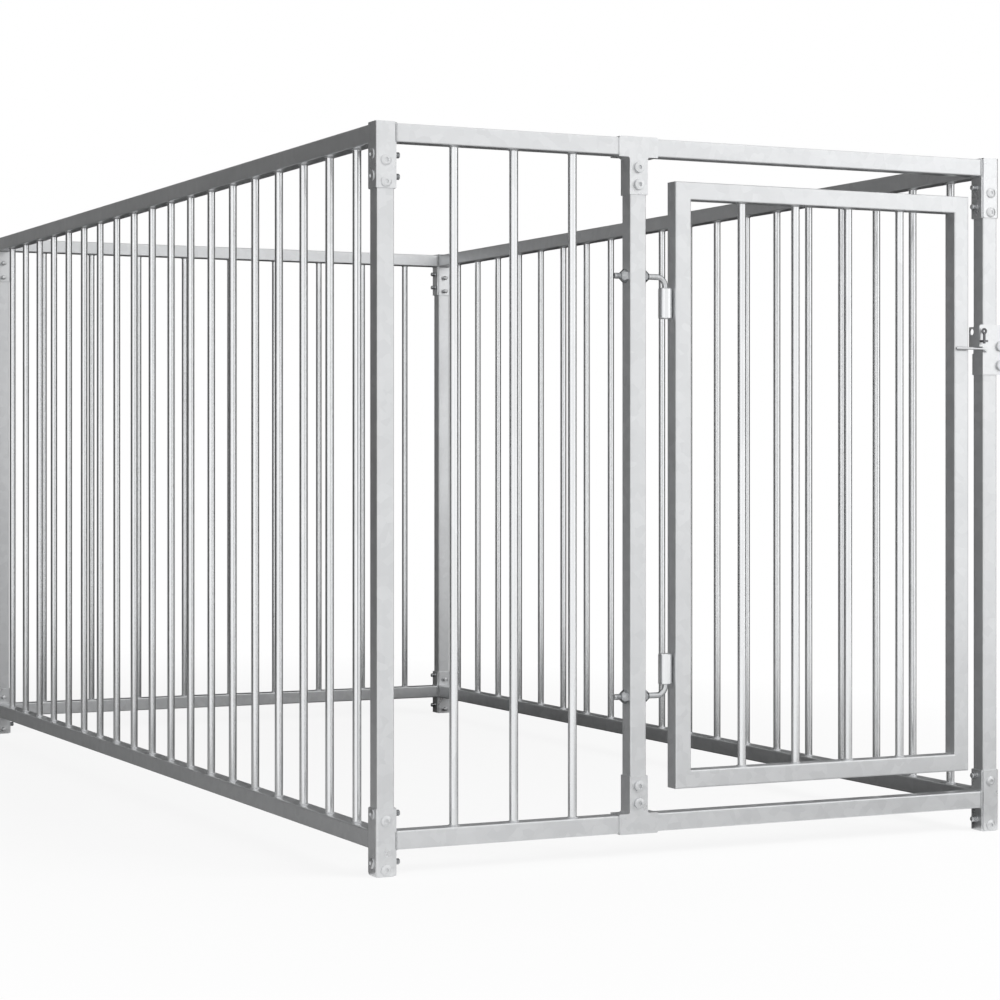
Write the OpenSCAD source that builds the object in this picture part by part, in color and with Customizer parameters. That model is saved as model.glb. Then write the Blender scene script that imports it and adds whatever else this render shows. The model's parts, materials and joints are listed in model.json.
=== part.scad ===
// Outdoor dog kennel run: an open-topped pen of square steel tube and round bars, bolted at the corners,
// with one hinged door on hook hinges and a drop-pin latch. Millimetres, +Z up, the door side faces -Y.
// Origin: centre of the footprint, bolt heads and latch included, on the ground.

/* [Run] */
// Width of the run over the tube frame
run_w = 1000; // [900:10:1500]
// Length of the run over the tube frame
run_l = 2000; // [1200:10:3000]
// Height to the top of the corner brackets
run_h = 1000; // [950:10:1800]

/* [Tube] */
// Side of the square tube
tube = 25; // [22:0.5:32]
// Wall of the square tube
tube_wall = 1.5; // [1:0.1:2]
// Outer corner radius of the square tube
tube_r = 2.2; // [2.2:0.1:4]
// Gap between the ground and the bottom rails
rail_clear = 35; // [32:1:80]

/* [Bars] */
// Diameter of the round bars
bar_d = 12; // [8:0.5:16]
// Wall of the round bars
bar_wall = 1; // [0.6:0.1:2]
// Spacing of the bars in the side and back panels
bar_pitch = 100; // [60:1:120]
// Least distance from a post to the middle of the next bar
bar_margin = 60; // [30:1:80]
// Spacing of the bars in the fixed part of the front
front_pitch = 89.5; // [60:0.5:110]
// From the front left post to the middle of the first front bar
front_bar_first = 92; // [60:0.5:100]
// Least spacing of the bars in the door
door_pitch = 88; // [60:0.5:110]

/* [Door] */
// From the left side of the run to the hinge post
hinge_post_x = 380; // [300:1:420]
// Gap between the hinge post and the door
door_gap_hinge = 47; // [44:0.5:60]
// Gap between the door and the latch post
door_gap_latch = 26; // [20:0.5:34]
// Gap between the door and the rails above and below it
door_gap_z = 32; // [10:0.5:60]

/* [Corner brackets] */
// Thickness of the corner brackets
bracket_t = 2; // [1.5:0.1:3]
// Inside bend radius of the corner brackets
bracket_bend = 2; // [1.5:0.1:2]
// How far a bracket leg runs past the post
bracket_lap = 0.5; // [0:0.1:2]
// How far a top bracket runs down below the top rails
bracket_drop = 61.5; // [55:0.5:90]
// How far a bottom bracket runs up above the bottom rails
bracket_rise = 30.5; // [30:0.5:60]
// Gap between the ground and the bottom brackets
bracket_lift = 1; // [0.5:0.1:3]
// Corner radius of the bracket legs
bracket_r = 2; // [1:0.1:4]
// Corner radius of the bracket legs at the ground
bracket_foot_r = 5; // [2:0.1:7]
// Thickness of the plates welded to the rail ends
end_plate_t = 3; // [2:0.1:5]

/* [Bolts] */
// Shank diameter of the bolts
bolt_d = 8; // [6:0.1:8]
// Diameter of the bolt heads
head_d = 16; // [14:0.1:16]
// Height of the bolt heads
head_h = 4.4; // [3:0.1:6]
// Width across flats of the hexagon socket
socket_af = 5; // [3:0.1:6]
// Depth of the hexagon socket
socket_depth = 2.4; // [1:0.1:2.8]
// From the end of a bracket to its first bolt
bolt_edge = 8.2; // [8:0.1:10]
// Height between the two bolts of a top bracket
bolt_spacing = 28.6; // [26:0.1:34]
// Gap between bolts that cross inside a post
bolt_pass_gap = 0.4; // [0.2:0.1:1]
// How far a corner bolt stands out of its end plate
bolt_proud = 9; // [2:0.5:12]
// Width across flats of the nuts
nut_af = 13; // [11:0.1:13]
// Height of the nuts
nut_h = 4; // [3:0.1:5]
// How far a bolt stands out of its nut
nut_proud = 1; // [0.5:0.1:1]

/* [Tee brackets] */
// Sheet thickness of the tee brackets
tee_t = 1.5; // [1:0.1:2.5]
// Length of the cross arm of a tee bracket
tee_arm = 61; // [50:0.5:80]
// How far a tee bracket covers the hinge post
tee_cover = 53.5; // [50:0.5:80]
// Radius of the outer corners of a tee bracket's arm
tee_r = 3; // [1:0.1:4]
// Radius in the inner corners of a tee bracket
tee_fillet = 3; // [1:0.1:5]
// From the rail to the first bolt of a tee bracket
tee_bolt_first = 16; // [14:0.1:20]
// Height between the two bolts of a tee bracket
tee_bolt_spacing = 23.6; // [20:0.1:28]

/* [Hinges] */
// Diameter of the hook rods
hook_d = 8; // [6:0.1:8.5]
// Bend radius of the hook rods, at the middle of the rod
hook_bend = 13; // [10:0.5:14]
// How far a hook rod stands out behind the hinge post
hook_tail = 19; // [14:0.5:30]
// From the top of the door to the upper hook rod
hinge_inset_top = 134; // [80:1:250]
// From the bottom of the door to the lower hook rod
hinge_inset_low = 131; // [80:1:250]
// Outer diameter of the hinge barrels
barrel_d = 19.2; // [14:0.1:20]
// Chamfer at the ends of the hinge barrels
barrel_chamfer = 1.2; // [0.5:0.1:2]
// Gap between a barrel and the door's stile, filled by the weld
barrel_seat = 0.6; // [0.3:0.1:2]
// Length of the hinge barrels
barrel_h = 43; // [30:0.5:60]
// From the middle of a hook rod to the end of its barrel
barrel_gap = 15; // [14.5:0.1:20]
// How far the weld that carries a barrel reaches behind the hinge axis
barrel_weld = 5; // [3:0.1:6]
// How far short of the barrel's far end the hook stops
hook_short = 3; // [0:0.5:8]
// Width across flats of the hook nuts
hook_nut_af = 17; // [13:0.1:17]
// Height of the hook nuts
hook_nut_h = 9; // [8:0.1:11]
// Height of the plain part of the hook nuts, under their cone
hook_nut_seat = 2.5; // [1:0.1:4]
// Diameter of the hook nuts at their narrow end
hook_nut_tip = 11; // [10.5:0.1:12]

/* [Latch] */
// Height of the middle of the latch tongue above the ground
latch_z = 716.5; // [500:0.5:760]
// Sheet thickness of the keeper
keeper_t = 2; // [1.5:0.1:3]
// How far the keeper reaches down below the tongue
keeper_low = 38; // [34:0.5:50]
// How far the keeper reaches up above the tongue
keeper_high = 36; // [34:0.5:40]
// How far the keeper's plates run past the right side of the post
keeper_over = 14; // [12.6:0.1:18]
// Corner radius of the keeper's plates
keeper_r = 3; // [2:0.1:5]
// Outer radius of the keeper's bend behind the post
keeper_bend = 4; // [2:0.1:4]
// Height of the flange that ties the keeper's two plates
keeper_tie = 31.5; // [24:0.5:32]
// Height of the keeper's back plate
keeper_back = 56; // [54:0.5:64]
// Lower keeper bolt above the foot of the keeper
keeper_bolt_low = 13.7; // [10:0.1:16]
// Upper keeper bolt above the foot of the keeper
keeper_bolt_high = 42.2; // [38:0.1:46]
// Gap between the keeper bolts and the post
keeper_bolt_gap = 0.5; // [0.3:0.1:1.5]
// Gap between the hasp flange and the latch post
hasp_gap = 6.1; // [5:0.1:9]
// Depth of the hasp flange behind the front of the frame
hasp_depth = 24; // [20:0.5:25]
// Diameter of the padlock hole
hasp_hole_d = 10; // [7:0.1:10]
// From the back edge of the hasp flange to the middle of the padlock hole
hasp_hole_in = 6.4; // [6.2:0.1:9]
// From the top of the keeper to the middle of the padlock hole
hasp_hole_down = 10.3; // [8:0.1:12]
// Gap between the tongue and the hasp flange above it
hasp_lift = 1.6; // [1:0.1:3]
// Diameter of the latch tongue's rod
tongue_d = 3.4; // [3.2:0.1:5]
// How far the straight part of the tongue runs past the edge of the latch post
tongue_lap = -3; // [-3.5:0.1:2]
// Angle of the tongue's end
tongue_turn = 35; // [20:1:60]
// Length of the tongue's end past its bend
tongue_end = 7.5; // [5:0.1:10]
// Height of the weld that carries the tongue
tongue_weld = 3; // [2:0.1:3]
// Height of the lug's underside above the tongue
lug_lift = 8; // [7:0.1:8.4]
// Thickness of the lug
lug_t = 3; // [2:0.1:4]
// Width of the lug, the ring pin in its middle
lug_w = 8; // [7:0.1:10]
// Diameter of the ring pin
pin_d = 4; // [3:0.1:5]
// How far the ring pin stands in from the edge of the latch post
pin_in = 4; // [3.5:0.1:5]
// Outer diameter of the ring
ring_d = 9.6; // [9:0.1:14]
// Thickness of the ring's wire
ring_wire = 3.3; // [2:0.1:3.4]
// Travel of the ring pin
pin_travel = 8.5; // [8.2:0.1:10]
// How far the raised ring pin stands out under the lug
pin_tip = 2; // [1.8:0.1:4]

/* [Caps] */
// Thickness of the flange of a post cap
cap_t = 2; // [1:0.1:4]
// How deep a post cap reaches into its post
cap_depth = 12; // [6:0.5:20]

/* [Fits] */
// Radial clearance of a bolt in its hole
bolt_fit = 0.2; // [0.1:0.05:0.4]
// Radial clearance of a bolt in a nut or a tapped plate
thread_fit = 0.05; // [0.02:0.01:0.1]
// Radial clearance of a hook in its barrel
hinge_fit = 0.08; // [0.05:0.01:0.1]
// Radial clearance of the ring pin in the lug
pin_fit = 0.1; // [0.05:0.01:0.2]
// Gap between the ring pin and the tongue behind it
pin_gap = 0.5; // [0.3:0.1:1]
// Gap between a pressed bracket and the tube inside it
tee_fit = 0.2; // [0.1:0.05:0.4]
// Gap between the tongue and the keeper behind it
tongue_gap = 0.4; // [0.3:0.1:1]
// Gap between a cap and the post round it
cap_fit = 0.2; // [0.1:0.05:0.4]

/* [Hidden] */
$fn = 48;

zinc = [0.78, 0.79, 0.80];
bright_zinc = [0.84, 0.85, 0.86];
bolt_zinc = [0.70, 0.71, 0.72];
cap_grey = [0.25, 0.25, 0.26];

// Overlap of a cutting shape past the face that it cuts
cut = 1;

// Heights
post_top = run_h - cap_t;
rail_top_z = post_top - tube;
rail_low_z = rail_clear;
bars_low_z = rail_low_z + tube;
top_bracket_z = rail_top_z - bracket_drop;
low_bracket_top = bars_low_z + bracket_rise;

// Bolts: those along X sit above those along Y, so that they pass inside a post
bolt_stagger = bolt_d + bolt_pass_gap;
bolt_len = bracket_t + tube + end_plate_t + bolt_proud;
top_bolts_y = [top_bracket_z + bolt_edge, top_bracket_z + bolt_edge + bolt_spacing];
low_bolts_y = [bracket_lift + bolt_edge, low_bracket_top - bolt_edge - bolt_stagger];
corner_bolts_y = concat(top_bolts_y, low_bolts_y);
corner_bolts_x = [for (z = corner_bolts_y) z + bolt_stagger];

// Head of a bolt: radius of its crown, and the height left round its socket
head_crown = (pow(head_d / 2, 2) + pow(head_h, 2)) / (2 * head_h);
head_peak = head_h - head_crown + sqrt(pow(head_crown, 2) - pow(socket_af / 2, 2));

// Latch tongue, ring pin and lug, as distances in front of the frame
tongue_out = keeper_t + tongue_gap + tongue_d / 2;
pin_out = tongue_out + tongue_d / 2 + pin_gap + pin_d / 2;
lug_out = pin_out + lug_w / 2;

// Sides of the frame: it is moved so that the footprint with the latch and the bolt heads is centred
bolt_out = bracket_t + head_peak;
front_y = (lug_out - bolt_out - run_l) / 2;
back_y = front_y + run_l;
left_x = (bolt_out - keeper_over - run_w) / 2;
right_x = left_x + run_w;
mid_y = front_y + tube / 2;
hinge_post_l = left_x + hinge_post_x;
hinge_post_r = hinge_post_l + tube;
latch_post_l = right_x - tube;
door_l = hinge_post_r + door_gap_hinge;
door_r = latch_post_l - door_gap_latch;
door_w = door_r - door_l;
door_z = bars_low_z + door_gap_z;
door_top = rail_top_z - door_gap_z;
door_h = door_top - door_z;

// Hinges
hinge_x = door_l - barrel_seat - barrel_d / 2;
hook_top_z = door_top - hinge_inset_top;
hook_low_z = door_z + hinge_inset_low;
hook_reach = barrel_gap + barrel_h - hook_short;

// Latch
keeper_z = latch_z - keeper_low;
keeper_top = latch_z + keeper_high;
hasp_x = latch_post_l - hasp_gap - keeper_t;
hasp_z = latch_z + tongue_d / 2 + hasp_lift;
lug_z = latch_z + tongue_d / 2 + lug_lift;
pin_x = latch_post_l - pin_in;
pin_y = front_y - pin_out;
ring_z = lug_z + lug_t + pin_travel + ring_d / 2;
keeper_end = right_x + keeper_over;
keeper_bolt_x = right_x + keeper_bolt_gap + bolt_d / 2;
keeper_bolt_z = [keeper_z + keeper_bolt_low, keeper_z + keeper_bolt_high];

// Bar positions along a panel of a given inner length, about its middle
function centred(length, pitch) =
    let (n = floor((length - 2 * bar_margin) / pitch) + 1)
    [for (i = [0 : n - 1]) (i - (n - 1) / 2) * pitch];
// Bar positions that divide a length into equal spaces no narrower than the pitch
function divided(length, pitch) =
    let (n = floor(length / pitch))
    [for (i = [1 : n - 1]) length * i / n];
side_bar_ys = [for (y = centred(run_l - 2 * tube, bar_pitch)) front_y + run_l / 2 + y];
back_bar_xs = [for (x = centred(run_w - 2 * tube, bar_pitch)) left_x + run_w / 2 + x];
front_bar_n = floor((hinge_post_x - tube - front_bar_first - bar_margin) / front_pitch) + 1;
front_bar_xs = [for (i = [0 : front_bar_n - 1]) left_x + tube + front_bar_first + i * front_pitch];
door_bar_xs = [for (x = divided(door_w - 2 * tube, door_pitch)) door_l + tube + x];

// Square with rounded corners, from the origin
module round_square(size, r) {
    translate([r, 0]) square([size - 2 * r, size]);
    translate([0, r]) square([size, size - 2 * r]);
    for (x = [r, size - r], y = [r, size - r]) translate([x, y]) circle(r);
}

// Square tube along +Z, its outer corner at the origin
module tube_z(len) {
    difference() {
        linear_extrude(len) round_square(tube, tube_r);
        translate([tube_wall, tube_wall, -cut])
            linear_extrude(len + 2 * cut) round_square(tube - 2 * tube_wall, tube_r - tube_wall);
    }
}
module tube_x(len) { rotate([90, 0, 90]) tube_z(len); }
module tube_y(len) { rotate([-90, -90, 0]) tube_z(len); }

// Cylinders along X and Y, from the origin
module rod_x(d, len) { rotate([0, 90, 0]) cylinder(d = d, h = len); }
module rod_y(d, len) { rotate([-90, 0, 0]) cylinder(d = d, h = len); }

// Round bar between the bottom and the top of a panel
module bar(x, y, z, len) {
    translate([x, y, z]) difference() {
        cylinder(d = bar_d, h = len);
        translate([0, 0, -cut]) cylinder(d = bar_d - 2 * bar_wall, h = len + 2 * cut);
    }
}

// Button-head bolt along +Z: the head stands below the origin, the shank above it
module bolt(len) {
    difference() {
        intersection() {
            translate([0, 0, head_crown - head_h]) sphere(head_crown);
            translate([0, 0, -head_h]) cylinder(d = head_d, h = head_h);
        }
        translate([0, 0, -head_h - cut]) cylinder(d = socket_af / cos(30), h = socket_depth + cut, $fn = 6);
    }
    cylinder(d = bolt_d, h = len);
}
module bolt_x(len) { rotate([0, 90, 0]) bolt(len); }
module bolt_y(len) { rotate([-90, 0, 0]) bolt(len); }

// Hexagon nut along +Z with its seat at the origin, coned from a given height to its narrow end
module coned_nut(af, h, bore, seat, tip) {
    difference() {
        intersection() {
            cylinder(d = af / cos(30), h = h, $fn = 6);
            union() {
                cylinder(d = 2 * af, h = seat);
                translate([0, 0, seat]) cylinder(d1 = af / cos(30) + 2 * cut, d2 = tip, h = h - seat);
            }
        }
        translate([0, 0, -cut]) cylinder(d = bore, h = h + 2 * cut);
    }
}
module plain_nut() {
    chamfer = nut_af / 2 * (1 / cos(30) - 1);
    coned_nut(nut_af, nut_h, bolt_d + 2 * thread_fit, nut_h - 3 * chamfer, nut_af - 2 * chamfer);
}

// Turns a shape made for the front left corner, with its corner at the origin, to another corner
module at_corner(right, back) {
    translate([right ? right_x : left_x, back ? back_y : front_y, 0])
        mirror(right ? [1, 0, 0] : [0, 0, 0]) mirror(back ? [0, 1, 0] : [0, 0, 0]) children();
}

// Posts

module corner_post() {
    difference() {
        tube_z(post_top);
        for (z = corner_bolts_x) translate([-cut, tube / 2, z]) rod_x(bolt_d + 2 * bolt_fit, tube + 2 * cut);
        for (z = corner_bolts_y) translate([tube / 2, -cut, z]) rod_y(bolt_d + 2 * bolt_fit, tube + 2 * cut);
    }
}
module post_front_left() { color(zinc) at_corner(false, false) corner_post(); }
module post_back_left() { color(zinc) at_corner(false, true) corner_post(); }
module post_back_right() { color(zinc) at_corner(true, true) corner_post(); }
module post_front_right() { color(zinc) at_corner(true, false) corner_post(); }
module hinge_post() {
    color(zinc) difference() {
        translate([hinge_post_l, front_y, bars_low_z]) tube_z(rail_top_z - bars_low_z);
        for (z = [hook_top_z, hook_low_z])
            translate([hinge_post_l - cut, mid_y, z]) rod_x(hook_d + 2 * bolt_fit, tube + 2 * cut);
        for (z = tee_bolt_z)
            translate([hinge_post_l + tube / 2, front_y - cut, z]) rod_y(bolt_d + 2 * bolt_fit, tube + 2 * cut);
    }
}
module post_caps() {
    inset = tube_wall + cap_fit;
    color(cap_grey) for (right = [false, true], back = [false, true]) at_corner(right, back) {
        translate([0, 0, post_top]) linear_extrude(cap_t) round_square(tube, tube_r);
        translate([inset, inset, post_top - cap_depth])
            linear_extrude(cap_depth) round_square(tube - 2 * inset, tube_r - tube_wall);
    }
}

// Rails, each between the plates welded to its two ends
end_in = tube + end_plate_t;

module rail_along_x(back, z) {
    translate([left_x + end_in, back ? back_y - tube : front_y, z]) tube_x(run_w - 2 * end_in);
}
module rail_along_y(right, z) {
    translate([right ? latch_post_l : left_x, front_y + end_in, z]) tube_y(run_l - 2 * end_in);
}
module front_rail_top() { color(zinc) rail_along_x(false, rail_top_z); }
module front_rail_bottom() { color(zinc) rail_along_x(false, rail_low_z); }
module back_rail_top() { color(zinc) rail_along_x(true, rail_top_z); }
module back_rail_bottom() { color(zinc) rail_along_x(true, rail_low_z); }
module left_rail_top() { color(zinc) rail_along_y(false, rail_top_z); }
module left_rail_bottom() { color(zinc) rail_along_y(false, rail_low_z); }
module right_rail_top() { color(zinc) rail_along_y(true, rail_top_z); }
module right_rail_bottom() { color(zinc) rail_along_y(true, rail_low_z); }

// End plates: tapped plates between a rail and the post that it is bolted to
module plate_facing_x(low, high, bolts) {
    difference() {
        translate([tube, 0, low]) cube([end_plate_t, tube, high - low]);
        for (z = bolts) translate([tube - cut, tube / 2, z]) rod_x(bolt_d + 2 * thread_fit, end_plate_t + 2 * cut);
    }
}
module plate_facing_y(low, high, bolts) {
    difference() {
        translate([0, tube, low]) cube([tube, end_plate_t, high - low]);
        for (z = bolts) translate([tube / 2, tube - cut, z]) rod_y(bolt_d + 2 * thread_fit, end_plate_t + 2 * cut);
    }
}
module top_plates_x(back) {
    color(zinc) for (right = [false, true])
        at_corner(right, back) plate_facing_x(top_bracket_z, post_top, [for (i = [0, 1]) corner_bolts_x[i]]);
}
module low_plates_x(back) {
    color(zinc) for (right = [false, true])
        at_corner(right, back) plate_facing_x(bracket_lift, low_bracket_top, [for (i = [2, 3]) corner_bolts_x[i]]);
}
module top_plates_y(right) {
    color(zinc) for (back = [false, true])
        at_corner(right, back) plate_facing_y(top_bracket_z, post_top, top_bolts_y);
}
module low_plates_y(right) {
    color(zinc) for (back = [false, true])
        at_corner(right, back) plate_facing_y(bracket_lift, low_bracket_top, low_bolts_y);
}
module front_top_end_plates() { top_plates_x(false); }
module front_bottom_end_plates() { low_plates_x(false); }
module back_top_end_plates() { top_plates_x(true); }
module back_bottom_end_plates() { low_plates_x(true); }
module left_top_end_plates() { top_plates_y(false); }
module left_bottom_end_plates() { low_plates_y(false); }
module right_top_end_plates() { top_plates_y(true); }
module right_bottom_end_plates() { low_plates_y(true); }

// Bars

module side_bars(x) {
    color(bright_zinc) for (y = side_bar_ys) bar(x, y, bars_low_z, rail_top_z - bars_low_z);
}
module left_bars() { side_bars(left_x + tube / 2); }
module right_bars() { side_bars(latch_post_l + tube / 2); }
module back_bars() {
    color(bright_zinc) for (x = back_bar_xs) bar(x, back_y - tube / 2, bars_low_z, rail_top_z - bars_low_z);
}
module front_bars() {
    color(bright_zinc) for (x = front_bar_xs) bar(x, mid_y, bars_low_z, rail_top_z - bars_low_z);
}

// Corner brackets: bent angles over the two outer faces of a post

// Angle section with its inner corner at the origin
module angle_section(leg) {
    bend = bracket_bend + bracket_t;
    translate([bracket_bend, -bracket_t]) square([leg - bracket_bend, bracket_t]);
    translate([-bracket_t, bracket_bend]) square([bracket_t, leg - bracket_bend]);
    intersection() {
        translate([bracket_bend, bracket_bend]) difference() {
            circle(bend);
            circle(bracket_bend);
        }
        translate([-bracket_t, -bracket_t]) square(bend);
    }
}

// What rounding takes off a corner at the origin, the shape lying on the -X and +Y sides
module corner_waste(r) {
    difference() {
        translate([-r, -cut]) square([r + cut, r + cut]);
        translate([-r, r]) circle(r);
    }
}

// Outline of a bracket seen square to one leg, with its free corners rounded
module leg_outline(leg, height, r_low, r_high) {
    difference() {
        translate([-bracket_t, 0]) square([leg + bracket_t, height]);
        translate([leg, 0]) corner_waste(r_low);
        translate([leg, height]) mirror([0, 1]) corner_waste(r_high);
    }
}
module corner_bracket(low, high, r_low, bolts_x, bolts_y) {
    leg = tube + bracket_lap;
    height = high - low;
    reach = leg + bracket_t + cut;
    difference() {
        translate([0, 0, low]) intersection() {
            linear_extrude(height) angle_section(leg);
            translate([0, leg + cut, 0]) rotate([90, 0, 0])
                linear_extrude(reach + cut) leg_outline(leg, height, r_low, bracket_r);
            translate([-bracket_t - cut, 0, 0]) rotate([90, 0, 90])
                linear_extrude(reach + cut) leg_outline(leg, height, r_low, bracket_r);
        }
        for (z = bolts_x)
            translate([-bracket_t - cut, tube / 2, z]) rod_x(bolt_d + 2 * bolt_fit, bracket_t + 2 * cut);
        for (z = bolts_y)
            translate([tube / 2, -bracket_t - cut, z]) rod_y(bolt_d + 2 * bolt_fit, bracket_t + 2 * cut);
    }
}
module top_bracket(right, back) {
    color(bright_zinc) at_corner(right, back)
        corner_bracket(top_bracket_z, run_h, bracket_r, [for (z = top_bolts_y) z + bolt_stagger], top_bolts_y);
}
module low_bracket(right, back) {
    color(bright_zinc) at_corner(right, back)
        corner_bracket(bracket_lift, low_bracket_top, bracket_foot_r, [for (z = low_bolts_y) z + bolt_stagger],
            low_bolts_y);
}
module bracket_top_front_left() { top_bracket(false, false); }
module bracket_top_front_right() { top_bracket(true, false); }
module bracket_top_back_left() { top_bracket(false, true); }
module bracket_top_back_right() { top_bracket(true, true); }
module bracket_low_front_left() { low_bracket(false, false); }
module bracket_low_front_right() { low_bracket(true, false); }
module bracket_low_back_left() { low_bracket(false, true); }
module bracket_low_back_right() { low_bracket(true, true); }

module corner_bolts() {
    color(bolt_zinc) for (right = [false, true], back = [false, true]) at_corner(right, back) {
        for (z = corner_bolts_x) translate([-bracket_t, tube / 2, z]) bolt_x(bolt_len);
        for (z = corner_bolts_y) translate([tube / 2, -bracket_t, z]) bolt_y(bolt_len);
    }
}

// Tee brackets: pressed trays over the joint of the hinge post with a front rail

tee_x = hinge_post_l + tube / 2;
tee_bolt_up = [tee_bolt_first, tee_bolt_first + tee_bolt_spacing];
tee_bolt_z = concat([for (d = tee_bolt_up) rail_top_z - d], [for (d = tee_bolt_up) bars_low_z + d]);

// Tee seen from the front: the arm covers the rail above the origin, the stem covers the post below it
module tee_outline(arm, gap, r) {
    half = tube / 2 + gap;
    translate([-arm / 2, -gap]) square([arm, tube + 2 * gap]);
    translate([-half, -tee_cover]) square([2 * half, tee_cover]);
    for (side = [-1, 1]) translate([side * half, -gap]) difference() {
        translate([side > 0 ? 0 : -r, -r]) square(r);
        translate([side * r, -r]) circle(r);
    }
}
module tee_bracket() {
    depth = tube + tee_t;
    difference() {
        rotate([90, 0, 0]) translate([0, 0, -tube])
            linear_extrude(depth) tee_outline(tee_arm, tee_fit + tee_t, tee_fillet);
        rotate([90, 0, 0]) translate([0, 0, -tube - cut])
            linear_extrude(tube + cut) union() {
                tee_outline(tee_arm + 2 * cut, tee_fit, tee_fillet + tee_t);
                translate([-tube / 2 - tee_fit, -tee_cover - cut]) square([tube + 2 * tee_fit, tee_cover]);
            }
        rotate([90, 0, 0]) translate([0, tube + tee_fit + tee_t, -tube - cut]) linear_extrude(depth + 2 * cut) {
            translate([tee_arm / 2, 0]) mirror([0, 1]) corner_waste(tee_r);
            translate([-tee_arm / 2, 0]) rotate(180) corner_waste(tee_r);
        }
        for (d = tee_bolt_up)
            translate([0, -tee_t - cut, -d]) rod_y(bolt_d + 2 * bolt_fit, tee_t + 2 * cut);
    }
}
module tee_bracket_top() {
    color(bright_zinc) translate([tee_x, front_y, rail_top_z]) tee_bracket();
}
module tee_bracket_bottom() {
    color(bright_zinc) translate([tee_x, front_y, bars_low_z]) mirror([0, 0, 1]) tee_bracket();
}
module tee_bolts() {
    color(bolt_zinc) for (z = tee_bolt_z)
        translate([tee_x, front_y - tee_t, z]) bolt_y(tee_t + tube + nut_h + nut_proud);
}
module tee_nuts() {
    color(bolt_zinc) for (z = tee_bolt_z)
        translate([tee_x, front_y + tube, z]) rotate([-90, 0, 0]) plain_nut();
}

// Door: a frame of four tubes mitred at the corners, with bars

// Keeps the part of a tube that lies inside the mitres at its two ends, seen along Y
module mitred(points) {
    intersection() {
        children();
        translate([door_l, front_y + tube, door_z]) rotate([90, 0, 0]) linear_extrude(tube) polygon(points);
    }
}
module door_hinge_stile() {
    color(zinc) mitred([[0, 0], [tube, tube], [tube, door_h - tube], [0, door_h]])
        translate([door_l, front_y, door_z]) tube_z(door_h);
}
module door_latch_stile() {
    color(zinc) mitred([[door_w, 0], [door_w, door_h], [door_w - tube, door_h - tube], [door_w - tube, tube]])
        translate([door_r - tube, front_y, door_z]) tube_z(door_h);
}
module door_rail_bottom() {
    color(zinc) mitred([[0, 0], [door_w, 0], [door_w - tube, tube], [tube, tube]])
        translate([door_l, front_y, door_z]) tube_x(door_w);
}
module door_rail_top() {
    color(zinc) mitred([[0, door_h], [tube, door_h - tube], [door_w - tube, door_h - tube], [door_w, door_h]])
        translate([door_l, front_y, door_top - tube]) tube_x(door_w);
}
module door_bars() {
    color(bright_zinc) for (x = door_bar_xs) bar(x, mid_y, door_z + tube, door_h - 2 * tube);
}

// Hinges: bent hook rods through the hinge post, in barrels welded to the door

module barrel(low) {
    narrow = barrel_d - 2 * barrel_chamfer;
    translate([hinge_x, mid_y, low]) difference() {
        union() {
            cylinder(d1 = narrow, d2 = barrel_d, h = barrel_chamfer);
            translate([0, 0, barrel_chamfer]) cylinder(d = barrel_d, h = barrel_h - 2 * barrel_chamfer);
            translate([0, 0, barrel_h - barrel_chamfer]) cylinder(d1 = barrel_d, d2 = narrow, h = barrel_chamfer);
            translate([0, 0, barrel_chamfer])
                cube([barrel_d / 2 + barrel_seat, barrel_weld, barrel_h - 2 * barrel_chamfer]);
        }
        translate([0, 0, -cut]) cylinder(d = hook_d + 2 * hinge_fit, h = barrel_h + 2 * cut);
    }
}
module barrel_top() { color(bright_zinc) barrel(hook_top_z - barrel_gap - barrel_h); }
module barrel_bottom() { color(bright_zinc) barrel(hook_low_z + barrel_gap); }

// Hook with its rod along X at the origin's height and its pin pointing down at X = 0
module hook() {
    tail_x = hinge_post_l - hook_tail - hinge_x;
    translate([tail_x, 0, 0]) rod_x(hook_d, -tail_x - hook_bend);
    translate([-hook_bend, 0, -hook_bend]) rotate([90, 0, 0])
        rotate_extrude(angle = 90) translate([hook_bend, 0]) circle(d = hook_d);
    translate([0, 0, -hook_reach]) cylinder(d = hook_d, h = hook_reach - hook_bend);
}
module hook_top() { color(bolt_zinc) translate([hinge_x, mid_y, hook_top_z]) hook(); }
module hook_bottom() { color(bolt_zinc) translate([hinge_x, mid_y, hook_low_z]) mirror([0, 0, 1]) hook(); }
module hook_nut() { coned_nut(hook_nut_af, hook_nut_h, hook_d + 2 * thread_fit, hook_nut_seat, hook_nut_tip); }
module hook_nuts() {
    color(bolt_zinc) for (z = [hook_top_z, hook_low_z]) {
        translate([hinge_post_r, mid_y, z]) rotate([0, 90, 0]) hook_nut();
        translate([hinge_post_l, mid_y, z]) rotate([0, -90, 0]) hook_nut();
    }
}

// Latch: a keeper clamped round the latch post, a bent tongue on the door and a ring pin that drops before it

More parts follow.
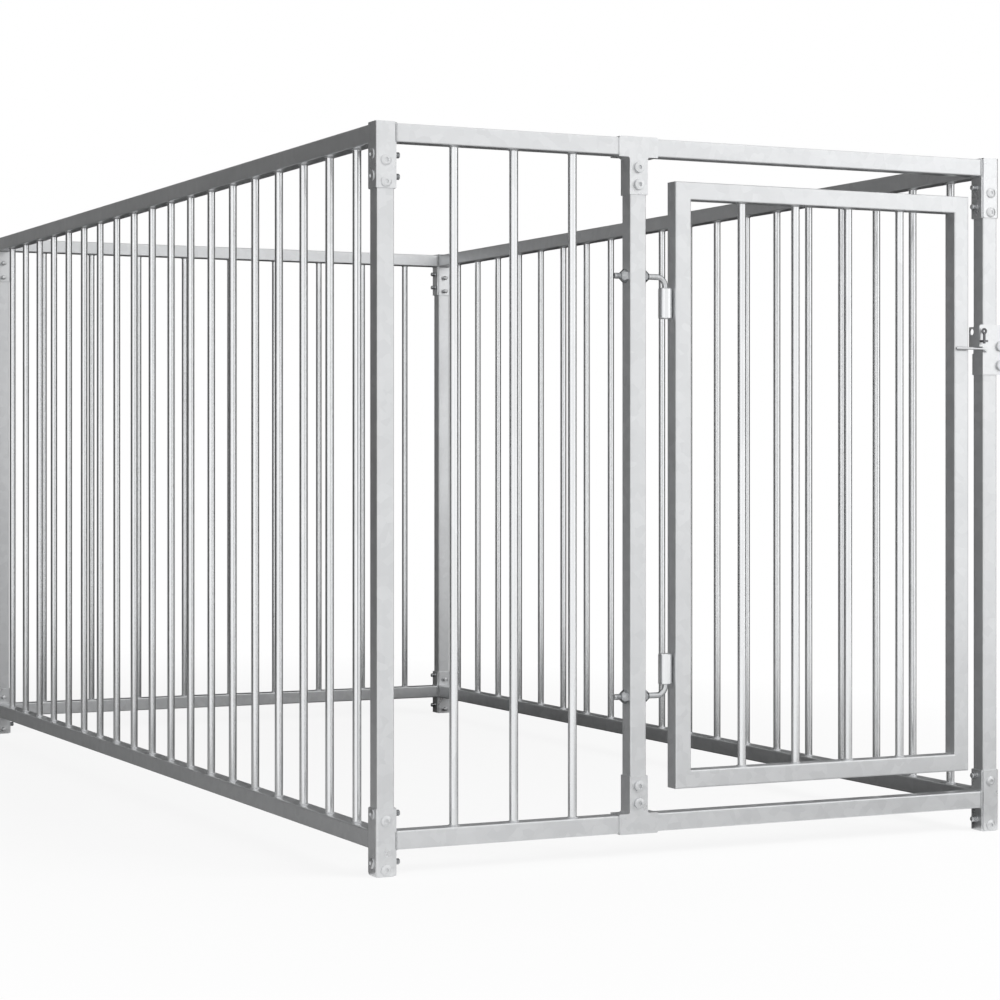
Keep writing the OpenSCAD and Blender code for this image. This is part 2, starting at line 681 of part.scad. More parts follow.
// Upright sheet parallel to the front, its outline drawn in X and Z and its back face at a given Y
module upright_sheet(y) {
    translate([0, y, 0]) rotate([90, 0, 0]) linear_extrude(keeper_t) children();
}
module keeper_front_outline() {
    tie_x = latch_post_l - keeper_t;
    difference() {
        union() {
            translate([tie_x, keeper_z]) square([keeper_end - tie_x, keeper_top - keeper_z]);
            translate([hasp_x, hasp_z]) square([tie_x - hasp_x + cut, keeper_top - hasp_z]);
        }
        translate([hasp_x, keeper_top]) rotate(180) corner_waste(keeper_r);
        translate([keeper_end, keeper_top]) mirror([0, 1]) corner_waste(keeper_r);
        translate([keeper_end, keeper_z]) corner_waste(keeper_r);
    }
}
module keeper_back_outline() {
    tie_x = latch_post_l - keeper_t;
    plate_x = tie_x + keeper_bend;
    difference() {
        union() {
            translate([tie_x, keeper_z]) square([keeper_end - tie_x, keeper_tie]);
            translate([plate_x, keeper_z]) square([keeper_end - plate_x, keeper_back]);
        }
        translate([plate_x, keeper_z + keeper_back]) rotate(180) corner_waste(keeper_r);
        translate([keeper_end, keeper_z + keeper_back]) mirror([0, 1]) corner_waste(keeper_r);
        translate([keeper_end, keeper_z]) corner_waste(keeper_r);
    }
}
module latch_keeper() {
    depth = tube + 2 * keeper_t;
    color(bright_zinc) difference() {
        union() {
            upright_sheet(front_y) keeper_front_outline();
            upright_sheet(front_y + tube + keeper_t) keeper_back_outline();
            // Tie along the left side of the post
            translate([latch_post_l - keeper_t, front_y - keeper_t, keeper_z]) cube([keeper_t, depth, keeper_tie]);
            // Hasp flange, turned back beside the post
            translate([hasp_x, front_y - keeper_t, hasp_z])
                cube([keeper_t, hasp_depth + keeper_t, keeper_top - keeper_r - hasp_z]);
            // Lug that guides the ring pin
            translate([pin_x - lug_w / 2, front_y - lug_out, lug_z]) cube([lug_w, lug_out - keeper_t, lug_t]);
        }
        translate([latch_post_l - keeper_t, front_y + tube + keeper_t, keeper_z - cut])
            linear_extrude(keeper_tie + cut) rotate(180) corner_waste(keeper_bend);
        translate([hasp_x - cut, front_y + hasp_depth - hasp_hole_in, keeper_top - hasp_hole_down])
            rod_x(hasp_hole_d, keeper_t + 2 * cut);
        translate([pin_x, pin_y, lug_z - cut]) cylinder(d = pin_d + 2 * pin_fit, h = lug_t + 2 * cut);
        for (z = keeper_bolt_z)
            translate([keeper_bolt_x, front_y - keeper_t - cut, z]) rod_y(bolt_d + 2 * bolt_fit, depth + 2 * cut);
    }
}
module keeper_bolts() {
    color(bolt_zinc) for (z = keeper_bolt_z)
        translate([keeper_bolt_x, front_y - keeper_t, z]) bolt_y(2 * keeper_t + tube + nut_h + nut_proud);
}
module keeper_nuts() {
    color(bolt_zinc) for (z = keeper_bolt_z)
        translate([keeper_bolt_x, front_y + tube + keeper_t, z])
            rotate([-90, 0, 0]) plain_nut();
}
module latch_tongue() {
    start_x = door_r - tube;
    bend_x = latch_post_l + tongue_lap;
    color(bright_zinc) translate([0, front_y - tongue_out, latch_z]) {
        translate([start_x, 0, 0]) rod_x(tongue_d, bend_x - start_x);
        translate([start_x + tube_r, 0, -tongue_weld / 2]) cube([tube - 2 * tube_r, tongue_out, tongue_weld]);
        translate([bend_x, 0, 0]) {
            sphere(d = tongue_d);
            rotate([0, tongue_turn, 0]) rod_x(tongue_d, tongue_end);
        }
    }
}
module ring_pin() {
    stem_top = ring_z - ring_d / 2 + ring_wire / 2;
    stem_low = lug_z - pin_tip;
    color(bolt_zinc) translate([pin_x, pin_y, 0]) {
        translate([0, 0, ring_z]) rotate([90, 0, 0])
            rotate_extrude() translate([(ring_d - ring_wire) / 2, 0]) circle(d = ring_wire);
        translate([0, 0, stem_low]) cylinder(d = pin_d, h = stem_top - stem_low);
    }
}

post_front_left();
post_front_right();
post_back_left();
post_back_right();
hinge_post();
post_caps();
front_rail_top();
front_rail_bottom();
back_rail_top();
back_rail_bottom();
left_rail_top();
left_rail_bottom();
right_rail_top();
right_rail_bottom();
front_top_end_plates();
front_bottom_end_plates();
back_top_end_plates();
back_bottom_end_plates();
left_top_end_plates();
left_bottom_end_plates();
right_top_end_plates();
right_bottom_end_plates();
left_bars();
right_bars();
back_bars();
front_bars();
bracket_top_front_left();
bracket_top_front_right();
bracket_top_back_left();
bracket_top_back_right();
bracket_low_front_left();
bracket_low_front_right();
bracket_low_back_left();
bracket_low_back_right();
corner_bolts();
tee_bracket_top();
tee_bracket_bottom();
tee_bolts();
tee_nuts();
door_hinge_stile();
door_latch_stile();
door_rail_top();
door_rail_bottom();
door_bars();
barrel_top();
barrel_bottom();
hook_top();
hook_bottom();
hook_nuts();
latch_keeper();
keeper_bolts();
keeper_nuts();
latch_tongue();
ring_pin();
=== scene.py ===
import json
import math
import bpy
import bmesh
import numpy as np
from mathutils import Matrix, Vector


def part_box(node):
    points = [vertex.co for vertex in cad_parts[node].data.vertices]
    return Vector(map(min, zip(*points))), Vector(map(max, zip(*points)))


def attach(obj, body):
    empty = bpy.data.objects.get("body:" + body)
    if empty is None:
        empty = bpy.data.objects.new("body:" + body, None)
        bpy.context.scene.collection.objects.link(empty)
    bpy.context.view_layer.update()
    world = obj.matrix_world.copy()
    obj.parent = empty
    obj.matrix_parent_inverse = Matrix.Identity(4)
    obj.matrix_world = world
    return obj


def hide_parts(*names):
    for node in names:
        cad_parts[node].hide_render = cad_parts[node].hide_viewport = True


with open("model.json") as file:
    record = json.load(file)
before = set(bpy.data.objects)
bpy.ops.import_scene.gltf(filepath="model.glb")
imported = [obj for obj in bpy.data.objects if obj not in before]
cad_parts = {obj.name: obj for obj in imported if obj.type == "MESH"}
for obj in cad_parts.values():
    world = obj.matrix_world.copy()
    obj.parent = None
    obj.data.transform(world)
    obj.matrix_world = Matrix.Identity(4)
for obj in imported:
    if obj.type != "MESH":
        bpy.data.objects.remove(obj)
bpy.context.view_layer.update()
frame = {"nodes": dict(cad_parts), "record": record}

scene = bpy.context.scene
perMetre = 1000.0      # the sizes below are in millimetres, the scene is in metres
fullTurn = 2 * np.pi


# lowest and highest corner of a node, in millimetres
def boxOf(nodeName):
    low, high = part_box(nodeName)
    return np.array(low) * perMetre, np.array(high) * perMetre


# sizes of the run, as the frame has them
run = {
    "width": 1000.0,
    "length": 2000.0,
    "tube": 25.0,
    "railUnder": 35.0,     # ground to the bottom rails
    "postTop": 998.0,
    "bar": 12.0,
    "plate": 3.0,          # plates on the rail ends
    "frontY": boxOf("front_rail_top")[0][1],
    "leftX": boxOf("post_front_left")[0][0],
}
leftX = run["leftX"]
rightX = leftX + run["width"]
frontY = run["frontY"]
backY = frontY + run["length"]
frontMetres = frontY / perMetre
halfTube = run["tube"] / 2
halfBar = run["bar"] / 2
print("frame loaded, front at", round(frontY, 2))


# one node, its inputs set or linked
def addNode(tree, kind, links=None, **values):
    node = tree.nodes.new(kind)
    for key, value in values.items():
        setattr(node, key, value)
    for socket, source in (links or {}).items():
        feed(tree, node.inputs[socket], source)
    return node


# a socket takes either a link or a plain value
def feed(tree, socket, source):
    if hasattr(source, "is_output"):
        tree.links.new(source, socket)
    else:
        socket.default_value = source


def newMaterial(name):
    material = bpy.data.materials.new(name)
    material.use_nodes = True
    material.node_tree.nodes.clear()
    return material, material.node_tree


def objectPlace(tree):
    return addNode(tree, "ShaderNodeTexCoord").outputs["Object"]


def addNoise(tree, place, scale, detail, rough=0.5):
    return addNode(tree, "ShaderNodeTexNoise", {"Vector": place, "Scale": scale, "Detail": detail,
                                                "Roughness": rough})


def toRange(tree, source, low, high, fromLow=0.0, fromHigh=1.0):
    ranged = addNode(tree, "ShaderNodeMapRange", {"Value": source, "From Min": fromLow, "From Max": fromHigh,
                                                  "To Min": low, "To Max": high})
    return ranged.outputs["Result"]


# the Mix node repeats its socket names for each data type, so its colour sockets go by number
colourMix = {"factor": 0, "first": 6, "second": 7, "result": 2}


def mixColours(tree, factor, first, second):
    mix = addNode(tree, "ShaderNodeMix", data_type="RGBA")
    feed(tree, mix.inputs[colourMix["factor"]], factor)
    feed(tree, mix.inputs[colourMix["first"]], first)
    feed(tree, mix.inputs[colourMix["second"]], second)
    return mix.outputs[colourMix["result"]]


def closeSkin(tree, values):
    shader = addNode(tree, "ShaderNodeBsdfPrincipled", values)
    addNode(tree, "ShaderNodeOutputMaterial", {"Surface": shader.outputs["BSDF"]})


# cool grey: a little more green than red, and as much more blue again
coolStep = 0.01


def coolGrey(value):
    return (value, value + coolStep, value + 2 * coolStep, 1)


def plainGrey(value):
    return (value, value, value, 1)


# zinc skin: crystal patches shift tone and gloss, clouds of dull patina lie over them, and fine grain
# breaks up the light
zinc = {"wobble": 0.8, "wobbleDetail": 2.0, "warp": (0.006, 0.006, 0.006), "cloudDetail": 5.0,
        "cloudRough": 0.62, "grainScale": 900.0, "grainDetail": 3.0, "grainLift": 0.0004,
        "dullRange": (0.42, 0.75), "roughRange": (0.35, 0.75), "lugEdge": 0.0005}


def zincSkin(name, look):
    material, tree = newMaterial(name)
    place = objectPlace(tree)
    drawn = addNode(tree, "ShaderNodeMapping", {"Vector": place, "Scale": look["stretch"]}).outputs["Vector"]
    wobble = addNoise(tree, drawn, look["crystals"] * zinc["wobble"], zinc["wobbleDetail"]).outputs["Color"]
    bent = addNode(tree, "ShaderNodeVectorMath", {0: wobble, 1: zinc["warp"], 2: drawn},
                   operation="MULTIPLY_ADD").outputs["Vector"]
    crystals = addNode(tree, "ShaderNodeTexVoronoi", {"Vector": bent, "Scale": look["crystals"]})
    tone = addNode(tree, "ShaderNodeSeparateColor", {"Color": crystals.outputs["Color"]}).outputs["Red"]
    clouds = addNoise(tree, drawn, look["clouds"], zinc["cloudDetail"], zinc["cloudRough"]).outputs["Fac"]
    grain = addNoise(tree, place, zinc["grainScale"], zinc["grainDetail"]).outputs["Fac"]
    patch = mixColours(tree, tone, look["dark"], look["light"])
    dull = toRange(tree, clouds, 0.0, look["patina"], *zinc["dullRange"])
    colour = mixColours(tree, dull, patch, look["oxide"])
    if "lugAhead" in look:
        ahead = addNode(tree, "ShaderNodeSeparateXYZ", {"Vector": place}).outputs["Y"]
        onLug = toRange(tree, ahead, 1.0, 0.0, look["lugAhead"] - zinc["lugEdge"], look["lugAhead"])
        colour = mixColours(tree, onLug, colour, look["lug"])
    spread = look["spread"]
    toneRough = toRange(tree, tone, look["gloss"] - spread, look["gloss"] + spread)
    cloudRough = toRange(tree, clouds, -spread, 2 * spread, *zinc["roughRange"])
    rough = addNode(tree, "ShaderNodeMath", {0: toneRough, 1: cloudRough}, operation="ADD").outputs["Value"]
    bump = addNode(tree, "ShaderNodeBump", {"Height": grain, "Strength": look["grain"],
                                            "Distance": zinc["grainLift"]})
    closeSkin(tree, {"Base Color": colour, "Roughness": rough, "Normal": bump.outputs["Normal"],
                     "Metallic": look["metal"]})
    return material


# weld metal: ripples across the bead under a dull zinc skin
def weldSkin(name, look):
    material, tree = newMaterial(name)
    place = objectPlace(tree)
    ripple = addNoise(tree, place, look["ripple"], look["detail"], look["rippleRough"]).outputs["Fac"]
    shade = toRange(tree, ripple, 0.0, 1.0, *look["shadeRange"])
    bump = addNode(tree, "ShaderNodeBump", {"Height": ripple, "Strength": look["bump"],
                                            "Distance": look["lift"]})
    closeSkin(tree, {"Base Color": mixColours(tree, shade, look["dark"], look["light"]),
                     "Roughness": toRange(tree, ripple, *look["gloss"]),
                     "Normal": bump.outputs["Normal"], "Metallic": look["metal"]})
    return material


# moulded caps: dark plastic with a spark-eroded grain and a little dust
def capSkin(name, look):
    material, tree = newMaterial(name)
    place = objectPlace(tree)
    pits = addNoise(tree, place, look["pits"], look["pitDetail"]).outputs["Fac"]
    dust = addNoise(tree, place, look["dustScale"], look["dustDetail"]).outputs["Fac"]
    dusty = toRange(tree, dust, 0.0, look["dustMost"], *look["dustRange"])
    bump = addNode(tree, "ShaderNodeBump", {"Height": pits, "Strength": look["bump"],
                                            "Distance": look["lift"]})
    closeSkin(tree, {"Base Color": mixColours(tree, dusty, look["plain"], look["dust"]),
                     "Roughness": toRange(tree, dust, *look["gloss"]), "Normal": bump.outputs["Normal"]})
    return material


# looks: crystals and clouds per metre, gloss as roughness, the rest as shares
tubeLook = {"crystals": 75.0, "clouds": 9.0, "stretch": (1.0, 1.0, 1.0), "patina": 0.30, "gloss": 0.36,
            "spread": 0.03, "grain": 0.03, "metal": 0.75,
            "dark": coolGrey(0.72), "light": coolGrey(0.78), "oxide": coolGrey(0.68)}
barLook = {"crystals": 40.0, "clouds": 9.0, "stretch": (1.0, 1.0, 0.2), "patina": 0.15, "gloss": 0.19,
           "spread": 0.01, "grain": 0.0, "metal": 0.9,
           "dark": coolGrey(0.84), "light": coolGrey(0.90), "oxide": coolGrey(0.80)}
sheetLook = {"crystals": 130.0, "clouds": 24.0, "stretch": (1.0, 1.0, 1.0), "patina": 0.22, "gloss": 0.32,
             "spread": 0.03, "grain": 0.02, "metal": 0.75,
             "dark": coolGrey(0.74), "light": coolGrey(0.80), "oxide": coolGrey(0.70)}
fastenerLook = {"crystals": 420.0, "clouds": 90.0, "stretch": (1.0, 1.0, 1.0), "patina": 0.30, "gloss": 0.36,
                "spread": 0.03, "grain": 0.02, "metal": 0.85,
                "dark": coolGrey(0.72), "light": coolGrey(0.78), "oxide": coolGrey(0.66)}
capLook = {"pits": 1600.0, "pitDetail": 2.0, "dustScale": 60.0, "dustDetail": 5.0, "dustMost": 0.35,
           "dustRange": (0.45, 0.8), "gloss": (0.52, 0.7), "bump": 0.35, "lift": 0.0003,
           "plain": (0.035, 0.035, 0.037, 1), "dust": (0.16, 0.155, 0.15, 1)}
weldLook = {"ripple": 420.0, "detail": 4.0, "rippleRough": 0.7, "shadeRange": (0.3, 0.7),
            "gloss": (0.42, 0.68), "bump": 0.5, "lift": 0.0006, "metal": 0.6,
            "dark": coolGrey(0.52), "light": coolGrey(0.72)}
finishes = {
    "tube_steel": zincSkin("galvanisedTube", tubeLook),
    "bar_steel": zincSkin("galvanisedBar", barLook),
    "plate_steel": zincSkin("platedSheet", sheetLook),
    "fastener_steel": zincSkin("platedFastener", fastenerLook),
    "cap_plastic": capSkin("mouldedCap", capLook),
}
# hooks, nuts, threads and the ring pin are greyer than the bolt heads; the threads at the ends of the bolts
# and hooks are the same steel as the heads and hooks, so their darker grey is painted shade
nutGreyAndThreadShadeLook = {"crystals": 300.0, "clouds": 60.0, "stretch": (1.0, 1.0, 1.0), "patina": 0.30, "gloss": 0.22,
           "spread": 0.03, "grain": 0.02, "metal": 1.0,
           "dark": coolGrey(0.38), "light": coolGrey(0.46), "oxide": coolGrey(0.30)}
hookLook = dict(nutGreyAndThreadShadeLook, patina=0.20, gloss=0.16, spread=0.02, grain=0.01,
                dark=coolGrey(0.57), light=coolGrey(0.65), oxide=coolGrey(0.50))
pinLook = dict(fastenerLook, gloss=0.30, metal=0.9,
               dark=(0.15, 0.15, 0.16, 1), light=(0.19, 0.19, 0.20, 1), oxide=(0.12, 0.12, 0.12, 1))
# keeper: plated sheet, the lug in front of it dark like its pin
lugStart = 0.0022      # metres before the front of the rails
keeperLook = dict(sheetLook, lugAhead=frontMetres - lugStart, lug=(0.17, 0.17, 0.18, 1))
hookFinish = zincSkin("bentRod", hookLook)
nutGreyAndThreadShadeFinish = zincSkin("nutGreyAndThreadShade", nutGreyAndThreadShadeLook)
pinFinish = zincSkin("darkPin", pinLook)
keeperFinish = zincSkin("keeperSheet", keeperLook)
weldFinish = weldSkin("weldBead", weldLook)

# every node of the frame keeps its shape and takes the finish of its slot, a few their own
ownFinish = {"hook_top": hookFinish, "hook_bottom": hookFinish, "hook_nuts": nutGreyAndThreadShadeFinish,
             "ring_pin": pinFinish, "latch_keeper": keeperFinish}
slotOf = {part["node"]: part["material_slot"] for part in frame["record"]["subparts"]}
for nodeName, slotName in slotOf.items():
    nodeMesh = frame["nodes"][nodeName].data
    nodeMesh.materials.clear()
    nodeMesh.materials.append(ownFinish.get(nodeName, finishes[slotName]))
print("finishes on", len(slotOf), "nodes")


# joins copies of one grid of points into a mesh; columns close on themselves, rows do too or end in a cap
def gridPiece(name, points, body, finish, capped=False):
    copies, rows, columns, _ = points.shape
    lastRow = rows - 1 if capped else rows
    row, column = np.meshgrid(np.arange(lastRow), np.arange(columns), indexing="ij")
    nextRow = (row + 1) % rows
    nextColumn = (column + 1) % columns
    quad = np.stack([row * columns + column, nextRow * columns + column,
                     nextRow * columns + nextColumn, row * columns + nextColumn], axis=-1).reshape(-1, 4)
    starts = np.arange(copies) * rows * columns
    faces = (quad[None] + starts[:, None, None]).reshape(-1, 4).tolist()
    if capped:
        firstRing = starts[:, None] + np.arange(columns)
        faces += firstRing.tolist()
        faces += (firstRing + (rows - 1) * columns).tolist()
    mesh = bpy.data.meshes.new(name)
    mesh.from_pydata((points.reshape(-1, 3) / perMetre).tolist(), [], faces)
    mesh.validate()
    work = bmesh.new()
    work.from_mesh(mesh)
    bmesh.ops.recalc_face_normals(work, faces=work.faces)
    work.to_mesh(mesh)
    work.free()
    mesh.polygons.foreach_set("use_smooth", np.ones(len(mesh.polygons), dtype=bool))
    mesh.materials.append(finish)
    piece = bpy.data.objects.new(name, mesh)
    scene.collection.objects.link(piece)
    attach(piece, body)
    print(name, len(mesh.polygons), "faces")
    return piece


# two directions square to an axis that lies level
def crossAxes(axis):
    along = np.array(axis, dtype=float)
    first = np.cross(along, (0.0, 0.0, 1.0))
    return along, first, np.cross(along, first)


# weld round a bar's end: a torus whose thickness rises and falls with the angle, half sunk in bar and rail
barWeld = {"bead": 1.5, "ripple": 0.16, "waves": 11, "lump": 0.12, "lumps": 3, "phase": 2.4,
           "lumpPhase": 1.7, "clear": 0.25, "steps": 28, "sides": 8}


def barWeldRings(centres, heights):
    around = np.linspace(0, fullTurn, barWeld["steps"], endpoint=False)[None, :, None]
    across = np.linspace(0, fullTurn, barWeld["sides"], endpoint=False)[None, None, :]
    spots = np.array([(x, y, z) for x, y in centres for z in heights])
    phase = (np.arange(len(spots)) * barWeld["phase"])[:, None, None]
    ripple = barWeld["ripple"] * np.sin(barWeld["waves"] * around + phase)
    lump = barWeld["lump"] * np.sin(barWeld["lumps"] * around + barWeld["lumpPhase"] * phase)
    bead = barWeld["bead"] * (1 + ripple + lump)
    reach = halfBar + barWeld["clear"] + bead * np.cos(across)
    return np.stack([spots[:, 0, None, None] + reach * np.cos(around),
                     spots[:, 1, None, None] + reach * np.sin(around),
                     spots[:, 2, None, None] + bead * np.sin(across)], axis=-1)


# centres of a row of bars, spread evenly over their node's box
def barCentres(nodeName, along, count):
    low, high = boxOf(nodeName)
    middle = (low + high) / 2
    if along == "y":
        return [(middle[0], y) for y in np.linspace(low[1] + halfBar, high[1] - halfBar, count)]
    return [(x, middle[1]) for x in np.linspace(low[0] + halfBar, high[0] - halfBar, count)]


barRows = {"left_bars": ("y", 19), "right_bars": ("y", 19), "back_bars": ("x", 9), "front_bars": ("x", 3)}
runBars = [centre for nodeName, row in barRows.items() for centre in barCentres(nodeName, *row)]
barEnds = (run["railUnder"] + run["tube"], run["postTop"] - run["tube"])
gridPiece("barWelds", barWeldRings(runBars, barEnds), "run", weldFinish)
doorLow, doorHigh = boxOf("door_bars")
doorRings = barWeldRings(barCentres("door_bars", "x", 4), (doorLow[2], doorHigh[2]))
gridPiece("doorBarWelds", doorRings, "door", weldFinish)

# weld round a rail's end: a round bead carried along a square path, waved along its length
railWeld = {"bead": 1.6, "ripple": 0.18, "pitch": 2.2, "corner": 3.0, "steps": 120, "sides": 8}


def railWeldRings():
    corner = railWeld["corner"]
    flat = 2 * (halfTube - corner)
    quarter = flat + corner * np.pi / 2
    s = np.linspace(0, 4 * quarter, railWeld["steps"], endpoint=False)
    side = np.floor(s / quarter)
    t = s - side * quarter
    onFlat = t < flat
    angle = np.where(onFlat, 0.0, (t - flat) / corner)
    # one side in its own frame: u along the side, v outwards
    u = np.where(onFlat, t - flat / 2, flat / 2 + corner * np.sin(angle))
    v = np.where(onFlat, halfTube, halfTube - corner + corner * np.cos(angle))
    spin = -side * np.pi / 2
    pathU = u * np.cos(spin) - v * np.sin(spin)
    pathV = u * np.sin(spin) + v * np.cos(spin)
    outU = np.sin(angle) * np.cos(spin) - np.cos(angle) * np.sin(spin)
    outV = np.sin(angle) * np.sin(spin) + np.cos(angle) * np.cos(spin)
    bead = railWeld["bead"] * (1 + railWeld["ripple"] * np.sin(fullTurn * s / railWeld["pitch"]))
    across = np.linspace(0, fullTurn, railWeld["sides"], endpoint=False)
    lift = bead[:, None] * np.cos(across)[None]
    along = bead[:, None] * np.sin(across)[None]
    ringU = pathU[:, None] + outU[:, None] * lift
    ringV = pathV[:, None] + outV[:, None] * lift
    rings = []
    inset = run["tube"] + run["plate"]
    for z in (run["railUnder"] + halfTube, run["postTop"] - halfTube):
        for y in (frontY + halfTube, backY - halfTube):
            for x in (leftX + inset, rightX - inset):
                rings.append(np.stack([x + along, y + ringU, z + ringV], axis=-1))
        for x in (leftX + halfTube, rightX - halfTube):
            for y in (frontY + inset, backY - inset):
                rings.append(np.stack([x + ringU, y + along, z + ringV], axis=-1))
    return np.array(rings)


gridPiece("railWelds", railWeldRings(), "run", weldFinish)

# thread: a ridge of triangular section wound round a bolt's end, fading into the shank at both ends
thread = {"radius": 4.0, "crest": 0.16, "floor": 0.02, "sunk": 0.3, "pitch": 1.25, "steps": 20,
          "fadeLeast": 0.1}


def threadCoils(spots, axis, length):
    along, first, second = crossAxes(axis)
    turns = length / thread["pitch"]
    t = np.linspace(0, fullTurn * turns, int(thread["steps"] * turns))
    low = np.full_like(t, thread["radius"] + thread["floor"])
    fade = np.clip(np.minimum(t, t[-1] - t) / np.pi, thread["fadeLeast"], 1)
    rise = low + (thread["crest"] - thread["floor"]) * fade
    reach = np.stack([low, rise, low, low - thread["sunk"]], axis=-1)
    shift = thread["pitch"] * np.array([-0.5, 0.0, 0.5, 0.0])[None]
    travel = (thread["pitch"] * t / fullTurn)[:, None] + shift
    coil = (travel[..., None] * along + (reach * np.cos(t)[:, None])[..., None] * first
            + (reach * np.sin(t)[:, None])[..., None] * second)
    return np.array(spots)[:, None, None] + coil[None]


# corner bolts: rows of those along Y, those along X that much higher, where their threads start and how long
# these are, how far out their heads seat and how long their shanks are
cornerBolts = {"rows": (9.2, 73.9, 919.7, 948.3), "higher": 8.4, "start": 28.6, "length": 7.6, "seat": 2.0,
               "shank": 39.0}
# each outer face of the posts with its way inwards
xFaces = {"left": (leftX, 1), "right": (rightX, -1)}
yFaces = {"front": (frontY, 1), "back": (backY, -1)}


# spots on the bolts along X, and on those along Y, at one depth inwards of their outer face
def xSpots(faceX, inward, depth):
    x = faceX + inward * depth
    heights = [z + cornerBolts["higher"] for z in cornerBolts["rows"]]
    return [(x, faceY + into * halfTube, z) for faceY, into in yFaces.values() for z in heights]


def ySpots(faceY, inward, depth):
    y = faceY + inward * depth
    heights = cornerBolts["rows"]
    return [(faceX + into * halfTube, y, z) for faceX, into in xFaces.values() for z in heights]


# the bolt threads take the nuts' darker grey: painted shade
for side, (faceX, inward) in xFaces.items():
    coils = threadCoils(xSpots(faceX, inward, cornerBolts["start"]), (inward, 0, 0), cornerBolts["length"])
    gridPiece(side + "BoltThreads", coils, "run", nutGreyAndThreadShadeFinish, True)
for side, (faceY, inward) in yFaces.items():
    coils = threadCoils(ySpots(faceY, inward, cornerBolts["start"]), (0, inward, 0), cornerBolts["length"])
    gridPiece(side + "BoltThreads", coils, "run", nutGreyAndThreadShadeFinish, True)

# hook tails: the same thread from the nut behind the hinge post to the rod's end, darker than the hook as
# painted shade
hookTail = {"start": 9.6, "length": 8.0}
hingePostX = boxOf("hinge_post")[0][0]
hookHeights = (boxOf("hook_top")[1][2] - thread["radius"], boxOf("hook_bottom")[0][2] + thread["radius"])
tailSpots = [(hingePostX - hookTail["start"], frontY + halfTube, z) for z in hookHeights]
tailCoils = threadCoils(tailSpots, (-1, 0, 0), hookTail["length"])
gridPiece("hookThreads", tailCoils, "run", nutGreyAndThreadShadeFinish, True)

# bolt: a profile turned round its axis, from the floor of a six-sided socket over a low crown, a round edge
# and a steep rim to the seat, then along the shank to its end; the socket's reach is its half width over a
# cosine
boltForm = {"flat": 3.4, "sharp": 0.1, "chamfer": 0.6, "shank": 4.0, "floorShare": 0.8, "columns": 36,
            "rings": 6}
flatHead = {"radius": 7.5, "height": 2.4, "crown": 1.2, "edge": 0.3, "socketHalf": 2.5, "socketDeep": 1.6}
deepHead = {"radius": 7.5, "height": 4.3, "crown": 0.4, "edge": 0.5, "socketHalf": 2.7, "socketDeep": 3.0}


def boltForms(spots, axis, length, head):
    along, first, second = crossAxes(axis)
    turn = np.linspace(0, fullTurn, boltForm["columns"], endpoint=False)
    socket = head["socketHalf"] / np.cos((turn + np.pi / 6) % (np.pi / 3) - np.pi / 6)
    top = head["height"]
    flat = boltForm["flat"]
    sharp = boltForm["sharp"]
    shank = boltForm["shank"]
    shoulder = head["radius"] - head["edge"]
    crownReach = np.linspace(flat, shoulder, boltForm["rings"])
    crownFall = head["crown"] * ((crownReach - flat) / (shoulder - flat)) ** 2
    bend = np.linspace(0, np.pi / 2, boltForm["rings"])[1:]
    edgeReach = shoulder + head["edge"] * np.sin(bend)
    edgeFall = head["crown"] + head["edge"] * (1 - np.cos(bend))
    rimEnd = [(head["radius"], top - sharp), (head["radius"] - sharp, top), (shank, top)]
    shankEnd = [(shank, top + length - boltForm["chamfer"]), (shank - boltForm["chamfer"], top + length)]
    rounds = list(zip(crownReach, crownFall)) + list(zip(edgeReach, edgeFall)) + rimEnd + shankEnd
    deep = head["socketDeep"]
    reach = np.array([socket * boltForm["floorShare"], socket - sharp, socket, socket, socket + sharp]
                     + [np.full_like(turn, r) for r, _ in rounds])
    fall = np.array([deep, deep, deep - sharp, sharp, 0.0] + [f for _, f in rounds])
    form = ((fall - top)[:, None, None] * along + (reach * np.cos(turn))[..., None] * first
            + (reach * np.sin(turn))[..., None] * second)
    return np.array(spots)[:, None, None] + form[None]


# corner bolts: low heads seated on the brackets
seatDepth = -cornerBolts["seat"]
boltFinish = finishes["fastener_steel"]
cornerForms = [boltForms(xSpots(faceX, inward, seatDepth), (inward, 0, 0), cornerBolts["shank"], flatHead)
               for faceX, inward in xFaces.values()]
cornerForms += [boltForms(ySpots(faceY, inward, seatDepth), (0, inward, 0), cornerBolts["shank"], flatHead)
                for faceY, inward in yFaces.values()]
cornerGrid = np.concatenate(cornerForms)
cornerPiece = gridPiece("cornerBolts", cornerGrid, "run", boltFinish, True)
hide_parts("corner_bolts")

# bolts through the tee brackets and the keeper: heights above the ground, and how far the solid heads
# stand out
frontBolts = {"tee_bolts": (76.0, 99.6, 933.4, 957.0), "keeper_bolts": (692.2, 720.7)}
solidHeadOut = 4.064
for nodeName, heights in frontBolts.items():
    low, high = boxOf(nodeName)
    seatY = low[1] + solidHeadOut
    spots = [((low[0] + high[0]) / 2, seatY, z) for z in heights]
    forms = boltForms(spots, (0, 1, 0), high[1] - seatY, deepHead)
    frontPiece = gridPiece(nodeName.replace("_b", "B"), forms, "run", boltFinish, True)
    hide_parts(nodeName)

# straight weld: a round bead along one axis, rippled, its ends drawn to points
beadWeld = {"ripple": 0.16, "pitch": 2.0, "tip": 0.02, "rows": 60, "sides": 10}


